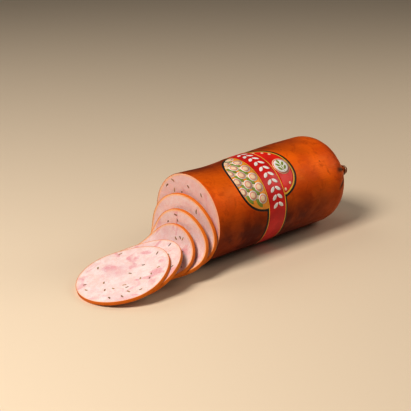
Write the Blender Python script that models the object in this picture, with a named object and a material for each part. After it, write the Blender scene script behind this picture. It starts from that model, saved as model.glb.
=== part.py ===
"""Cured caraway sausage: a cut length lying on its side, with five slices fanned in front of the cut.

Metres, +Z up, +X towards the tied end. The origin is the middle of the flat that the sausage rests on.
Angles round the sausage are counted from the top of the section towards -Y.
"""
import math

import bpy
import numpy as np

# The filled casing
SEGMENTS = 72
FLAT_HALF_ANGLE = math.radians(10)
BARREL_LENGTH = 0.157
RING_SPACING = 0.010
# Distance from the cut and radius there: a slight waist behind the cut, then fuller towards the tied end
GIRTHS = ((0.0, 0.0421), (0.035, 0.0415), (0.080, 0.0425), (0.130, 0.0431), (0.157, 0.0431))
CUT_X = -BARREL_LENGTH / 2

# The round end and the gather, which sits off the axis towards -Y and a little above it
DOME_LENGTH = 0.0305
DOME_RADIUS = GIRTHS[-1][1]
DOME_RING_DEGREES = (84, 77, 69, 61, 53, 45, 37, 30, 23, 17, 12, 8)
GATHER_SIDE = 0.0220
GATHER_RISE = 0.0095
PLEATS = 12
PLEAT_DEPTH = 0.0011
PLEAT_REACH = 0.013
GATHER_LIFT = 0.0036
GATHER_LIFT_REACH = 0.0085

# The twisted tail beyond the gather: distance from the gather and radius
TAIL_DIRECTION = (0.90, -0.43, -0.12)
TAIL_PROFILE = ((0.0034, 0.0047), (0.0042, 0.0035), (0.0047, 0.0028), (0.0057, 0.0028),
                (0.0062, 0.0031), (0.0068, 0.0034), (0.0073, 0.0029))
TAIL_FLUTE = 0.10

# The closing clip of soft wire, bent round the neck of the tail
CLIP_DISTANCE = 0.0052
CLIP_WIRE_RADIUS = 0.0006
CLIP_GAP = 0.0004
CLIP_SIDES = 8
CLIP_STEPS = 28

# The wrap: a strap round the barrel that widens to an oval panel on the side that faces -Y
WRAP_GAP = 0.0003
WRAP_THICKNESS = 0.0004
WRAP_END_DEGREES = 160
STRAP_FROM_CUT = (0.060, 0.086)
PANEL_FROM_CUT = (0.032, 0.107)
PANEL_MIDDLE_DEGREES = 38
PANEL_SPAN_ABOVE = 55
PANEL_SPANS_BELOW = (48, 40)
PANEL_SQUARENESS_ABOVE = 2.0
PANEL_SQUARENESS_BELOW = 2.5
WRAP_COLUMNS = 7

# The slices: radius, thickness, and how each one leans. Its upper part is flat and its foot is bent towards
# -X. The slope turns from foot_slope to top_slope about the share bend_at of the way up, and bend_turn is
# how far the line of the bend is turned from level.
SLICE_RADIUS = 0.0422
SLICE_THICKNESS = 0.0030
SLICE_STEPS = 36
BEND_SPAN = 0.55
SLICE_UNEVENNESS = 0.0003
SLICES = (
    {"from_cut": -0.0048, "side": 0.0006, "turn": 1.2, "top_slope": 90.8, "foot_slope": 12.6,
     "bend_at": 0.42, "bend_turn": 8.2},
    {"from_cut": -0.0117, "side": -0.0038, "turn": -3.7, "top_slope": 89.0, "foot_slope": 13.2,
     "bend_at": 0.60, "bend_turn": 5.7},
    {"from_cut": -0.0245, "side": -0.0042, "turn": -8.4, "top_slope": 79.3, "foot_slope": 11.9,
     "bend_at": 0.74, "bend_turn": 4.8},
    {"from_cut": -0.0666, "side": -0.0084, "turn": -21.0, "top_slope": 28.9, "foot_slope": 13.3,
     "bend_at": 0.59, "bend_turn": -12.3},
    {"from_cut": -0.0808, "side": -0.0086, "turn": -19.4, "top_slope": 29.1, "foot_slope": 13.2,
     "bend_at": 0.70, "bend_turn": -10.8},
)


def clear_scene():
    for item in list(bpy.data.objects):
        bpy.data.objects.remove(item, do_unlink=True)


def finish(name, colour, roughness, metallic=0.0):
    """A Principled material with one colour."""
    material = bpy.data.materials.new(name)
    material.use_nodes = True
    shader = material.node_tree.nodes["Principled BSDF"]
    shader.inputs["Base Color"].default_value = (*colour, 1.0)
    shader.inputs["Roughness"].default_value = roughness
    shader.inputs["Metallic"].default_value = metallic
    material.diffuse_color = (*colour, 1.0)
    return material


def casing_finish():
    return finish("smoked_casing", (0.50, 0.13, 0.02), 0.40)


def meat_finish():
    return finish("cut_meat", (0.80, 0.52, 0.45), 0.55)


def clip_finish():
    return finish("clip_wire", (0.75, 0.75, 0.77), 0.35, 1.0)


def wrap_finish():
    return finish("printed_wrap", (0.62, 0.03, 0.03), 0.40)


def add_object(name, vertices, faces, materials, face_materials=None):
    """Make a smooth-shaded object from points and faces, with an edge kept sharp past 35 degrees."""
    mesh = bpy.data.meshes.new(name)
    mesh.from_pydata([tuple(point) for point in vertices], [], faces)
    mesh.validate()
    for material in materials:
        mesh.materials.append(material)
    if face_materials is not None:
        mesh.polygons.foreach_set("material_index", face_materials)
    mesh.shade_smooth()
    mesh.set_sharp_from_angle(angle=math.radians(35))
    piece = bpy.data.objects.new(name, mesh)
    bpy.context.scene.collection.objects.link(piece)
    return piece


def ring_faces(first, second, count):
    """Quads between two closed rings of the same number of points."""
    return [(first + i, first + (i + 1) % count, second + (i + 1) % count, second + i) for i in range(count)]


def smoothstep(value):
    value = np.clip(value, 0.0, 1.0)
    return value * value * (3 - 2 * value)


def girth(from_cut):
    """Radius of the barrel at a distance from the cut, eased between the stations of GIRTHS."""
    radius = np.full(np.shape(from_cut), GIRTHS[0][1])
    for (start, low), (end, high) in zip(GIRTHS, GIRTHS[1:]):
        radius = radius + (high - low) * smoothstep((np.asarray(from_cut) - start) / (end - start))
    return radius


def axis_height(radius):
    """Height of the section's centre when FLAT_HALF_ANGLE each side of the bottom is pressed flat."""
    return radius * math.cos(FLAT_HALF_ANGLE)


def barrel_ring(from_cut, angles):
    """A circle about the axis, flattened where it would pass below the resting plane."""
    radius = girth(from_cut)
    x = np.full(len(angles), CUT_X + from_cut)
    y = -radius * np.sin(angles)
    z = axis_height(radius) + radius * np.cos(angles)
    return np.stack([x, y, np.maximum(z, 0.0)], axis=1)


def gather_direction():
    """The gather's place on the unit half sphere that the round end is stretched from."""
    side = -GATHER_SIDE / DOME_RADIUS
    rise = GATHER_RISE / DOME_RADIUS
    return np.array([math.sqrt(1 - side * side - rise * rise), side, rise])


def tail_axes():
    """The tail's direction and two directions across it, the second one pointing up."""
    along = np.array(TAIL_DIRECTION) / np.linalg.norm(TAIL_DIRECTION)
    across = np.cross((0.0, 0.0, 1.0), along)
    across = across / np.linalg.norm(across)
    return along, across, np.cross(along, across)


def dome_point(unit):
    """Stretch a point of the unit half sphere to the round end."""
    stretch = np.array([DOME_LENGTH, DOME_RADIUS, DOME_RADIUS])
    centre = np.array([CUT_X + BARREL_LENGTH, 0.0, axis_height(DOME_RADIUS)])
    return centre + unit * stretch


def dome_ring(degrees, angles):
    """A ring round the gather, seen degrees away from it, which meets the barrel's ring at 90 degrees.

    The half sphere is laid out on a disc by stereographic projection, and each circle on the disc slides
    towards the gather by one minus its radius squared. Pleats sink into the casing close to the gather.
    """
    gather = gather_direction()
    target = gather[1:] / (1 + gather[0])
    size = math.tan(math.radians(degrees) / 2)
    flat = size * np.stack([-np.sin(angles), np.cos(angles)], axis=1) + target * (1 - size * size)
    square = (flat ** 2).sum(axis=1)
    unit = np.stack([1 - square, 2 * flat[:, 0], 2 * flat[:, 1]], axis=1) / (1 + square)[:, None]
    points = dome_point(unit)
    along = tail_axes()[0]
    reach = np.linalg.norm(points - dome_point(gather), axis=1)
    lift = GATHER_LIFT * np.exp(-(reach / GATHER_LIFT_REACH) ** 2)
    fold = (0.5 + 0.5 * np.cos(PLEATS * angles + 0.8 * np.sin(3 * angles + 1.0))) ** 2
    sink = PLEAT_DEPTH * np.exp(-(reach / PLEAT_REACH) ** 2) * fold
    points = points + along * (lift - sink)[:, None]
    points[:, 2] = np.maximum(points[:, 2], 0.0)
    return points


def tail_ring(distance, radius, angles):
    """A fluted ring across the tail."""
    along, across, upward = tail_axes()
    base = dome_point(gather_direction()) + along * distance
    fluted = radius * (1 - TAIL_FLUTE * (0.5 + 0.5 * np.cos(PLEATS * angles)))
    sideways = np.outer(-np.sin(angles) * fluted, across)
    return base + sideways + np.outer(np.cos(angles) * fluted, upward)


def make_sausage(casing, meat):
    """The cut length as one closed solid: barrel, round end, gathered neck and tail."""
    angles = np.arange(SEGMENTS) * 2 * math.pi / SEGMENTS
    stations = np.linspace(0.0, BARREL_LENGTH, round(BARREL_LENGTH / RING_SPACING) + 1)
    rings = [barrel_ring(station, angles) for station in stations]
    rings += [dome_ring(degrees, angles) for degrees in DOME_RING_DEGREES]
    rings += [tail_ring(distance, radius, angles) for distance, radius in TAIL_PROFILE]
    faces = [tuple(range(SEGMENTS))[::-1]]
    for index in range(len(rings) - 1):
        faces += ring_faces(index * SEGMENTS, (index + 1) * SEGMENTS, SEGMENTS)
    last = (len(rings) - 1) * SEGMENTS
    faces.append(tuple(range(last, last + SEGMENTS)))
    face_materials = [1] + [0] * (len(faces) - 1)
    return add_object("sausage", np.vstack(rings), faces, [casing, meat], face_materials)


def make_clip(material):
    """A loop of wire round the neck, a little oval, as it is pressed shut."""
    along, across, upward = tail_axes()
    centre = dome_point(gather_direction()) + along * CLIP_DISTANCE
    reach = CLIP_WIRE_RADIUS
    neck = max(radius for distance, radius in TAIL_PROFILE if abs(distance - CLIP_DISTANCE) <= reach)
    loop_radius = neck + CLIP_GAP + CLIP_WIRE_RADIUS
    vertices = []
    for step in range(CLIP_STEPS):
        turn = 2 * math.pi * step / CLIP_STEPS
        outward = across * math.cos(turn) + upward * math.sin(turn)
        swell = 1 + 0.35 * math.exp(-((math.cos(turn) - 1) / 0.08) ** 2)
        radius = loop_radius * (1 + 0.08 * math.sin(turn) ** 2) + CLIP_WIRE_RADIUS * (swell - 1)
        for side in range(CLIP_SIDES):
            roll = 2 * math.pi * side / CLIP_SIDES
            offset = outward * math.cos(roll) + along * math.sin(roll)
            vertices.append(centre + outward * radius + offset * CLIP_WIRE_RADIUS * swell)
    faces = []
    for step in range(CLIP_STEPS):
        first = step * CLIP_SIDES
        second = (step + 1) % CLIP_STEPS * CLIP_SIDES
        faces += [face[::-1] for face in ring_faces(first, second, CLIP_SIDES)]
    return add_object("clip", vertices, faces, [material])


def panel_bulge(degrees, side):
    """How far the panel reaches out from its middle, from 0 to 1, on the left (0) or right (1) side."""
    if degrees < PANEL_MIDDLE_DEGREES:
        span, squareness = PANEL_SPAN_ABOVE, PANEL_SQUARENESS_ABOVE
    else:
        span, squareness = PANEL_SPANS_BELOW[side], PANEL_SQUARENESS_BELOW
    share = abs(degrees - PANEL_MIDDLE_DEGREES) / span
    return max(0.0, 1 - share ** squareness) ** (1 / squareness)


def wrap_edges(degrees):
    """Left and right edge of the wrap, as distances from the cut: the strap, or the panel where wider."""
    middle = sum(PANEL_FROM_CUT) / 2
    left = min(STRAP_FROM_CUT[0], middle + (PANEL_FROM_CUT[0] - middle) * panel_bulge(degrees, 0))
    right = max(STRAP_FROM_CUT[1], middle + (PANEL_FROM_CUT[1] - middle) * panel_bulge(degrees, 1))
    return left, right


def make_wrap(material):
    """A thin skin of even thickness that follows the barrel, open along its underside."""
    step = 360 / SEGMENTS
    rows = int(2 * WRAP_END_DEGREES / step) + 1
    columns = WRAP_COLUMNS + 1
    layers = []
    for offset in (WRAP_GAP, WRAP_GAP + WRAP_THICKNESS):
        for row in range(rows):
            degrees = -WRAP_END_DEGREES + row * step
            angle = math.radians(degrees)
            from_cut = np.linspace(*wrap_edges(degrees), columns)
            radius = girth(from_cut)
            y = -(radius + offset) * math.sin(angle)
            z = axis_height(radius) + (radius + offset) * math.cos(angle)
            layers.append(np.stack([CUT_X + from_cut, y, z], axis=1))
    inner = [(r * columns + c, r * columns + c + 1, (r + 1) * columns + c + 1, (r + 1) * columns + c)
             for r in range(rows - 1) for c in range(columns - 1)]
    depth = rows * columns
    faces = inner + [tuple(index + depth for index in face[::-1]) for face in inner]
    border = [(0, c) for c in range(columns)] + [(r, columns - 1) for r in range(1, rows)]
    border += [(rows - 1, c) for c in range(columns - 2, -1, -1)] + [(r, 0) for r in range(rows - 2, 0, -1)]
    border = [r * columns + c for r, c in border]
    for here, there in zip(border, border[1:] + border[:1]):
        faces.append((there, here, here + depth, there + depth))
    return add_object("label", np.vstack(layers), faces, [material])


def slice_axes(lean):
    """Directions of a slice's flat upper part: up across the bend, along the bend, and out of the front."""
    turn, slope, bend_turn = (math.radians(lean[name]) for name in ("turn", "top_slope", "bend_turn"))
    upward = np.array([math.cos(slope) * math.cos(turn), math.cos(slope) * math.sin(turn), math.sin(slope)])
    level = np.array([-math.sin(turn), math.cos(turn), 0.0])
    over = math.cos(bend_turn) * upward + math.sin(bend_turn) * level
    along = math.cos(bend_turn) * level - math.sin(bend_turn) * upward
    return over, along, np.cross(upward, level)


def bent_line(lean, over):
    """Points of the front face's section square to the bend, and the direction out of the face there.

    The section is the running sum of its slope, and its top end stays in the plane of the upper part.
    """
    share = over / (2 * SLICE_RADIUS) + 0.5
    ease = smoothstep((share - lean["bend_at"]) / BEND_SPAN + 0.5)
    bend = math.radians(lean["top_slope"] - lean["foot_slope"]) * (1 - ease)
    run = np.stack([np.cos(bend), -np.sin(bend)], axis=1)
    steps = (run[1:] + run[:-1]) / 2 * np.diff(over)[:, None]
    line = np.vstack([[0.0, 0.0], np.cumsum(steps, axis=0)])
    line = line + np.array([SLICE_RADIUS, 0.0]) - line[-1]
    return line, np.stack([np.sin(bend), np.cos(bend)], axis=1)


def make_slice(number, lean, casing, meat):
    """A round slice of even thickness, flat above and bent forward at its foot, resting on the table."""
    turns = np.linspace(0.0, math.pi, SLICE_STEPS + 1)
    line, outward = bent_line(lean, -SLICE_RADIUS * np.cos(turns))
    wobble = SLICE_UNEVENNESS * np.sin(2 * turns + number) * np.sin(turns)
    half_width = SLICE_RADIUS * np.sin(turns)
    over, along, front_way = slice_axes(lean)
    layers = []
    for section in (line, line - SLICE_THICKNESS * outward):
        middle = np.outer(section[:, 0], over) + np.outer(section[:, 1], front_way)
        right = middle + np.outer(half_width + wobble, along)
        left = middle + np.outer(wobble - half_width, along)
        layers.append(np.vstack([right, left[-2:0:-1]]))
    vertices = np.vstack(layers) + np.array([CUT_X + lean["from_cut"], lean["side"], 0.0])
    vertices[:, 2] -= vertices[:, 2].min()
    rim = len(layers[0])
    front = [(0, rim - 1, 1)]
    front += [(i, rim - i, rim - i - 1, i + 1) for i in range(1, SLICE_STEPS - 1)]
    front.append((SLICE_STEPS - 1, rim - SLICE_STEPS + 1, SLICE_STEPS))
    faces = front + [tuple(index + rim for index in face[::-1]) for face in front]
    face_materials = [1] * len(faces)
    sides = ring_faces(0, rim, rim)
    faces += sides
    face_materials += [0] * len(sides)
    return add_object(f"slice_{number}", vertices, faces, [casing, meat], face_materials)


def build():
    clear_scene()
    casing = casing_finish()
    meat = meat_finish()
    make_sausage(casing, meat)
    make_clip(clip_finish())
    make_wrap(wrap_finish())
    for number, lean in enumerate(SLICES, start=1):
        make_slice(number, lean, casing, meat)


build()
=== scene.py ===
import math

import bpy
import numpy as np
from mathutils import Matrix, Vector


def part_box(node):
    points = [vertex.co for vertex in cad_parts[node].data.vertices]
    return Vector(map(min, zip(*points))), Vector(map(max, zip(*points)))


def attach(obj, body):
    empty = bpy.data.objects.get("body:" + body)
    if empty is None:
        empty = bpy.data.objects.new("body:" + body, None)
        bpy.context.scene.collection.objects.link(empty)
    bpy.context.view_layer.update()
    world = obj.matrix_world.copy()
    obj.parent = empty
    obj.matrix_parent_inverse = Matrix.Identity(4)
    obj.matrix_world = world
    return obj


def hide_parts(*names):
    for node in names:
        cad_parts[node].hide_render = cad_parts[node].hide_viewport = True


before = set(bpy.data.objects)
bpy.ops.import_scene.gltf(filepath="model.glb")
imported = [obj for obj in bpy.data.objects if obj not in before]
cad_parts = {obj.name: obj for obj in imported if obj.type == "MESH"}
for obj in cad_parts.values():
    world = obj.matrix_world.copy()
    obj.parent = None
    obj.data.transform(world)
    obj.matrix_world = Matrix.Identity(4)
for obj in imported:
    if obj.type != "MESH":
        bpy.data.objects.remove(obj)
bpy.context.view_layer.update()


# Table, light and camera.
# A plain pale table top, a large warm light high up in front of the cut, weaker ones above the tied end and
# behind, and a faint even fill. The camera looks along the sausage from the cut end, through a long lens.

MM = 0.001
CUT_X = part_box("sausage")[0].x
AXIS_HEIGHT = 42.5 * MM
PHOTO_SIDE = 411
FOCAL_PIXELS = 1200.0
SENSOR = 36.0
CAMERA_TURN = math.radians(-43.37)
CAMERA_RISE = math.radians(19.77)
CAMERA_DISTANCE = 1.082
CUT_RIGHT_OF_MIDDLE = -17.8
CUT_BELOW_MIDDLE = 11.99
FAINT_FILL = 0.10
FILL_COLOUR = (1.0, 0.95, 0.90, 1.0)
TABLE_HALF = 3.0
TABLE_COLOUR = (0.76, 0.64, 0.49)


def add_camera():
    """A camera whose middle of view lies a stated number of photo pixels from the middle of the cut."""
    back = Vector((
        math.sin(CAMERA_TURN) * math.cos(CAMERA_RISE),
        -math.cos(CAMERA_TURN) * math.cos(CAMERA_RISE),
        math.sin(CAMERA_RISE),
    ))
    right = Vector((math.cos(CAMERA_TURN), math.sin(CAMERA_TURN), 0.0))
    up = back.cross(right)
    per_pixel = CAMERA_DISTANCE / FOCAL_PIXELS
    target = Vector((CUT_X, 0.0, AXIS_HEIGHT))
    data = bpy.data.cameras.new("camera")
    data.sensor_width = SENSOR
    data.lens = FOCAL_PIXELS * SENSOR / PHOTO_SIDE
    camera = bpy.data.objects.new("camera", data)
    bpy.context.scene.collection.objects.link(camera)
    place = Matrix((right, up, back)).transposed().to_4x4()
    place.translation = (target + back * CAMERA_DISTANCE - right * (CUT_RIGHT_OF_MIDDLE * per_pixel)
                         + up * (CUT_BELOW_MIDDLE * per_pixel))
    camera.matrix_world = place
    data.clip_end = 20.0
    bpy.context.scene.camera = camera


def add_light(name, place, aim, size, power, colour):
    """A square soft light at place, facing aim."""
    data = bpy.data.lights.new(name, "AREA")
    data.size = size
    data.energy = power
    data.color = colour
    light = bpy.data.objects.new(name, data)
    bpy.context.scene.collection.objects.link(light)
    light.location = place
    light.rotation_euler = (Vector(aim) - Vector(place)).to_track_quat("-Z", "Y").to_euler()


def plain_material(name, colour, roughness):
    """A Principled material with one colour, whose nodes can then be added to."""
    material = bpy.data.materials.new(name)
    material.use_nodes = True
    shader = material.node_tree.nodes["Principled BSDF"]
    shader.inputs["Base Color"].default_value = (*colour, 1.0)
    shader.inputs["Roughness"].default_value = roughness
    return material, shader


def mesh_piece(name, points, faces, material):
    """A smooth-shaded mesh object at the origin from an array of points and an array of faces."""
    mesh = bpy.data.meshes.new(name)
    mesh.from_pydata(np.asarray(points).tolist(), [], [face for group in faces for face in group.tolist()])
    mesh.materials.append(material)
    mesh.shade_smooth()
    piece = bpy.data.objects.new(name, mesh)
    bpy.context.scene.collection.objects.link(piece)
    return piece


add_camera()
add_light("key", (-0.80, -0.04, 1.00), (-0.05, 0.0, 0.04), 0.45, 15.5, (1.0, 0.95, 0.90))
add_light("tied_end", (0.92, -0.52, 0.66), (0.06, 0.0, 0.04), 0.6, 5.0, (1.0, 0.95, 0.88))
add_light("sheen", (0.0, 0.85, 0.95), (-0.10, 0.0, 0.03), 0.7, 2.2, (1.0, 0.97, 0.94))

world = bpy.data.worlds.new("studio")
world.use_nodes = True
world.node_tree.nodes["Background"].inputs["Color"].default_value = FILL_COLOUR
world.node_tree.nodes["Background"].inputs["Strength"].default_value = FAINT_FILL
bpy.context.scene.world = world
bpy.context.scene.view_settings.view_transform = "Standard"
bpy.context.scene.view_settings.gamma = 0.80

table_material, _ = plain_material("table_top", TABLE_COLOUR, 0.6)
table = mesh_piece(
    "table",
    [(-TABLE_HALF, -TABLE_HALF, 0.0), (TABLE_HALF, -TABLE_HALF, 0.0),
     (TABLE_HALF, TABLE_HALF, 0.0), (-TABLE_HALF, TABLE_HALF, 0.0)],
    [np.array([[0, 1, 2, 3]])],
    table_material,
)


# The casing.
# A fibrous casing filled tight with meat, smoked orange-brown, with a soft gloss. It is one skin from the
# cut to the tied end, where it is gathered into pleats, twisted and closed off to one side of the axis.

FLAT_HALF_ANGLE = math.radians(10)
BARREL_LENGTH = 157 * MM
GIRTHS = ((0.0, 42.1 * MM), (35 * MM, 41.5 * MM), (80 * MM, 42.5 * MM), (130 * MM, 43.1 * MM))
DOME_LENGTH = 30.5 * MM
DOME_RADIUS = GIRTHS[-1][1]
GATHER_SIDE = 22 * MM
GATHER_RISE = 9.5 * MM
PLEATS = 12
PLEAT_DEPTH = 1.5 * MM
PLEAT_REACH = 19 * MM
LONG_PLEATS_AT = 62
LONG_PLEATS_SPREAD = 38
GATHER_LIFT = 3.6 * MM
GATHER_LIFT_REACH = 8.5 * MM
TAIL_DIRECTION = np.array([0.90, -0.43, -0.12])
TAIL_DISTANCES = np.array([3.4, 4.2, 4.7, 5.7, 6.2, 6.8, 7.3, 7.6]) * MM
TAIL_RADII = np.array([4.7, 3.5, 2.8, 2.8, 3.1, 3.4, 2.9, 1.9]) * MM
CASING_THICKNESS = 0.35 * MM
CASING_UNEVENNESS = 0.12 * MM
LIP_DEPTH = 1.6 * MM
# How deeply the tail is fluted at its neck and how much more at its end, and how far the twist turns it
TAIL_FLUTES = (0.16, 0.12)
TAIL_TWIST = 0.3
# Painted shade, in degrees from the top: a darker band along the upper ridge, by darkness, middle
# and spread, and all of the underside, by darkness, start and the degrees over which it comes in
PAINTED_SHADE_RIDGE = (0.86, -15, 28)
PAINTED_SHADE_BELOW = (0.96, 51, 58)
# The painted shade fades towards the tied end: distances from the cut over which it does
PAINTED_SHADE_FADES = (100 * MM, 180 * MM)
CASING_COLOURS = {
    "thin": (0.98, 0.195, 0.005),
    "thicker": (0.68, 0.100, 0.003),
    "brown": (0.64, 0.132, 0.004),
    "patch": (0.40, 0.050, 0.002),
    "light_patch": (0.88, 0.21, 0.007),
    "grain": (0.30, 0.044, 0.003),
    "fibre": (0.42, 0.066, 0.004),
    "spot": (0.07, 0.016, 0.004),
    "cut_edge": (0.74, 0.27, 0.045),
    # Painted shade over the ridge and underside
    "painted_shade": (0.11, 0.009, 0.001),
    # Painted shade in the creases
    "fold": (0.035, 0.008, 0.002),
}
AROUND = 360
BARREL_RINGS = 110
DOME_RINGS = 64
TAIL_RINGS = 26


def smoothstep(value):
    """Three times the square less twice the cube, of the value held between 0 and 1."""
    value = np.clip(value, 0.0, 1.0)
    return value * value * (3 - 2 * value)


def girth(from_cut):
    """Radius of the barrel: the station radii, eased from one to the next by a smooth step."""
    radius = np.full(np.shape(from_cut), GIRTHS[0][1])
    for (start, low), (end, high) in zip(GIRTHS, GIRTHS[1:]):
        radius = radius + (high - low) * smoothstep((np.asarray(from_cut) - start) / (end - start))
    return radius


def axis_height(radius):
    """Height of the section's centre, so that the flat underneath touches the table."""
    return radius * math.cos(FLAT_HALF_ANGLE)


def waves(seed, count, across, along):
    """Smooth unevenness from -1 to 1: a sum of sines of random turn, pace and phase, by two coordinates."""
    draw = np.random.RandomState(seed)
    total = np.zeros(np.broadcast(across, along).shape)
    for _ in range(count):
        total = total + np.sin(draw.randint(1, 6) * across + draw.uniform(30, 110) * along
                               + draw.uniform(0, 2 * math.pi))
    return total / count


def barrel_point(from_cut, angle, height=0.0):
    """A point on the barrel: a circle about the axis, whose radius is the girth plus height plus a slight
    unevenness. The angle is counted from the top towards -Y. Nothing goes below the table, and
    the inner skin stays its depth above it."""
    uneven = CASING_UNEVENNESS * waves(3, 9, angle, from_cut)
    radius = girth(from_cut) + height + uneven
    y = -radius * np.sin(angle)
    z = axis_height(girth(from_cut)) + radius * np.cos(angle)
    return np.stack([CUT_X + from_cut + 0 * angle, y, np.maximum(z, np.maximum(-height, 0.0))], axis=-1)


def gather_on_unit_sphere():
    """The gather's place on the unit half sphere, from its side and rise as shares of the radius."""
    side = -GATHER_SIDE / DOME_RADIUS
    rise = GATHER_RISE / DOME_RADIUS
    return np.array([math.sqrt(1 - side * side - rise * rise), side, rise])


def dome_point(unit):
    """The unit half sphere stretched to the round end's length and radius."""
    centre = np.array([CUT_X + BARREL_LENGTH, 0.0, axis_height(DOME_RADIUS)])
    return centre + unit * np.array([DOME_LENGTH, DOME_RADIUS, DOME_RADIUS])


def tail_axes():
    """Directions along the tail, level across it, and up across it."""
    along = TAIL_DIRECTION / np.linalg.norm(TAIL_DIRECTION)
    across = np.cross((0.0, 0.0, 1.0), along)
    across = across / np.linalg.norm(across)
    return along, across, np.cross(along, across)


def pleat_shape(angle):
    """Depth of the folds round the gather, from 0 to about 1: twelve deep creases of uneven spacing, each
    the fifth power of a raised cosine, and 31 shallow ones, each its third power."""
    deep = (0.5 + 0.5 * np.cos(PLEATS * angle + 0.8 * np.sin(3 * angle + 1.0))) ** 5
    uneven = 0.75 + 0.25 * np.sin(5 * angle + 0.7)
    shallow = (0.5 + 0.5 * np.cos(31 * angle + 1.5 * np.sin(2 * angle))) ** 3
    return deep * uneven + 0.22 * shallow


def signed_angle(angle):
    """The same angle between minus half a turn and half a turn."""
    return (angle + math.pi) % (2 * math.pi) - math.pi


def dome_points(degrees, angle):
    """Rings round the gather, and how deep each point is folded. The half sphere is laid out on a disc by
    stereographic projection, each circle of the disc slides towards the gather by one minus its radius
    squared, and folds sink in near it. They run longest where the sideways gather pulls the casing most."""
    gather = gather_on_unit_sphere()
    target = gather[1:] / (1 + gather[0])
    size = np.tan(np.radians(degrees) / 2)
    flat_y = -size * np.sin(angle) + target[0] * (1 - size * size)
    flat_z = size * np.cos(angle) + target[1] * (1 - size * size)
    square = flat_y ** 2 + flat_z ** 2
    unit = np.stack([1 - square, 2 * flat_y, 2 * flat_z], axis=-1) / (1 + square)[..., None]
    points = dome_point(unit)
    reach = np.linalg.norm(points - dome_point(gather), axis=-1)
    fade = smoothstep((90 - degrees) / 30)
    pulled = np.exp(-((np.degrees(signed_angle(angle)) - LONG_PLEATS_AT) / LONG_PLEATS_SPREAD) ** 2)
    length = 1 + 0.3 * np.sin(4 * angle + 2.0) + 0.9 * pulled
    lift = GATHER_LIFT * np.exp(-(reach / GATHER_LIFT_REACH) ** 2)
    fold = np.exp(-(reach / (PLEAT_REACH * length)) ** 2) * pleat_shape(angle) * fade
    uneven = CASING_UNEVENNESS * waves(3, 9, angle, BARREL_LENGTH + 0.5 * (90 - degrees) * MM)
    points = points + tail_axes()[0] * (lift - PLEAT_DEPTH * fold)[..., None]
    points = points + unit * uneven[..., None] * (1 - fade[..., None])
    points[..., 2] = np.maximum(points[..., 2], 0.0)
    return points, fold


def tail_points(distance, angle):
    """Fluted rings across the tail, whose flutes grow deeper and turn along it as the casing is twisted."""
    along, across, upward = tail_axes()
    radius = np.interp(distance, TAIL_DISTANCES, TAIL_RADII)
    depth = TAIL_FLUTES[0] + TAIL_FLUTES[1] * smoothstep((distance - TAIL_DISTANCES[3]) / (2 * MM))
    twist = TAIL_TWIST * smoothstep((distance - 4 * MM) / (6 * MM))
    fluted = radius * (1 - depth * pleat_shape(angle + twist))
    base = dome_point(gather_on_unit_sphere()) + along * distance[..., None]
    return base - across * (fluted * np.sin(angle))[..., None] + upward * (fluted * np.cos(angle))[..., None]


def ring_faces(rings, count):
    """Quads between neighbouring rings of count points each, every ring closed."""
    first = (np.arange(rings - 1)[:, None] * count + np.arange(count)).ravel()
    nxt = (np.arange(rings - 1)[:, None] * count + (np.arange(count) + 1) % count).ravel()
    return np.stack([first, nxt, nxt + count, first + count], axis=1)


def cap_faces(pole, ring_start, count, outward=True):
    """Triangles from a pole to a closed ring."""
    here = ring_start + np.arange(count)
    there = ring_start + (np.arange(count) + 1) % count
    faces = np.stack([np.full(count, pole), here, there], axis=1)
    return faces if outward else faces[:, ::-1]


def new_group(name, inputs, outputs):
    """An empty shader node group with the named sockets."""
    group = bpy.data.node_groups.new(name, "ShaderNodeTree")
    for socket, kind in inputs:
        group.interface.new_socket(socket, in_out="INPUT", socket_type=kind)
    for socket, kind in outputs:
        group.interface.new_socket(socket, in_out="OUTPUT", socket_type=kind)
    return group, group.nodes.new("NodeGroupInput"), group.nodes.new("NodeGroupOutput")


def add_node(tree, kind, **settings):
    """A new node with its settings."""
    node = tree.nodes.new(kind)
    for name, value in settings.items():
        setattr(node, name, value)
    return node


def noise(tree, place, scale, detail=3.0, roughness=0.5, distortion=0.0):
    """Noise read at place, scale features a metre; gives its factor."""
    node = add_node(tree, "ShaderNodeTexNoise")
    node.inputs["Scale"].default_value = scale
    node.inputs["Detail"].default_value = detail
    node.inputs["Roughness"].default_value = roughness
    node.inputs["Distortion"].default_value = distortion
    tree.links.new(place, node.inputs["Vector"])
    return node.outputs["Factor" if "Factor" in node.outputs else "Fac"]


def stretched(tree, place, scale):
    """The place with each axis scaled, for streaks."""
    node = add_node(tree, "ShaderNodeVectorMath", operation="MULTIPLY")
    node.inputs[1].default_value = scale
    tree.links.new(place, node.inputs[0])
    return node.outputs["Vector"]


def ranged(tree, value, from_low, from_high, to_low=0.0, to_high=1.0):
    """The value carried from one range to another, smoothly and clamped."""
    node = add_node(tree, "ShaderNodeMapRange", interpolation_type="SMOOTHSTEP")
    tree.links.new(value, node.inputs["Value"])
    for socket, number in zip(("From Min", "From Max", "To Min", "To Max"),
                              (from_low, from_high, to_low, to_high)):
        node.inputs[socket].default_value = number
    return node.outputs["Result"]


def mixed(tree, share, first, second, blend="MIX"):
    """Two colours mixed; each is a socket or a plain colour, and the share is a socket or a number."""
    node = add_node(tree, "ShaderNodeMix", data_type="RGBA", blend_type=blend)
    for socket, value in ((node.inputs[0], share), (node.inputs[6], first), (node.inputs[7], second)):
        if isinstance(value, bpy.types.NodeSocket):
            tree.links.new(value, socket)
        elif isinstance(value, (int, float)):
            socket.default_value = value
        else:
            socket.default_value = (*value, 1.0)
    return node.outputs[2]


def combined(tree, operation, first, second):
    """One step of arithmetic on sockets or numbers."""
    node = add_node(tree, "ShaderNodeMath", operation=operation)
    for socket, value in zip(node.inputs, (first, second)):
        if isinstance(value, bpy.types.NodeSocket):
            tree.links.new(value, socket)
        else:
            socket.default_value = value
    return node.outputs["Value"]


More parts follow.
